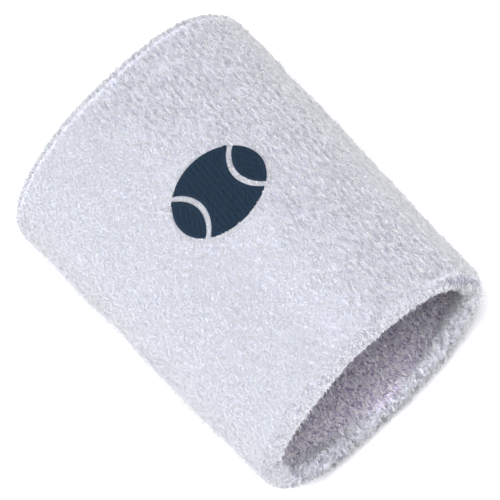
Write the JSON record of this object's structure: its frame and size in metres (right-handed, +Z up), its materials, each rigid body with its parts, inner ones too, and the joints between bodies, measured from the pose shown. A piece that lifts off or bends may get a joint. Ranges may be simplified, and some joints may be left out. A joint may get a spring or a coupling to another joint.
{
  "type": "sweat wristband",
  "caption": "Long terry-cloth sweat wristband: a double-walled knitted tube with rounded turned edges, open at both ends, with an embroidered ball on its crown.",
  "frame": {"origin": "on the table plane, under the middle of the band's length and width", "axes": "+Z up from the table through the embroidered crown; +Y along the tube's axis, away from the end that is looked into; +X across the width"},
  "size_m": [0.0734, 0.12, 0.0283],
  "materials": {
    "terry_pile": "matte cotton terry loops",
    "terry_lining": "matte cotton terry loops, coarser and flattened by wear against the skin",
    "elastic_yarn": "covered elastane yarn",
    "seam_thread": "spun polyester sewing thread",
    "embroidery_thread": "satin-stitched polyester thread, navy",
    "embroidery_backing": "non-woven stabiliser",
    "bobbin_thread": "fine polyester bobbin thread"
  },
  "bodies": {
    "root": {"outer_terry_ply": "terry_pile", "near_turned_edge": "terry_pile", "far_turned_edge": "terry_pile", "lining_ply_near": "terry_lining", "lining_ply_far": "terry_lining", "elastic_yarn_outer_ply": "elastic_yarn", "elastic_yarn_lining_near": "elastic_yarn", "elastic_yarn_lining_far": "elastic_yarn", "seam_needle_thread": "seam_thread", "seam_upper_looper_thread": "seam_thread", "seam_lower_looper_thread": "seam_thread", "ball_panel_left": "embroidery_thread", "ball_panel_centre": "embroidery_thread", "ball_panel_right": "embroidery_thread", "embroidery_backing": "embroidery_backing", "embroidery_bobbin_thread": "bobbin_thread"}
  },
  "joints": []
}
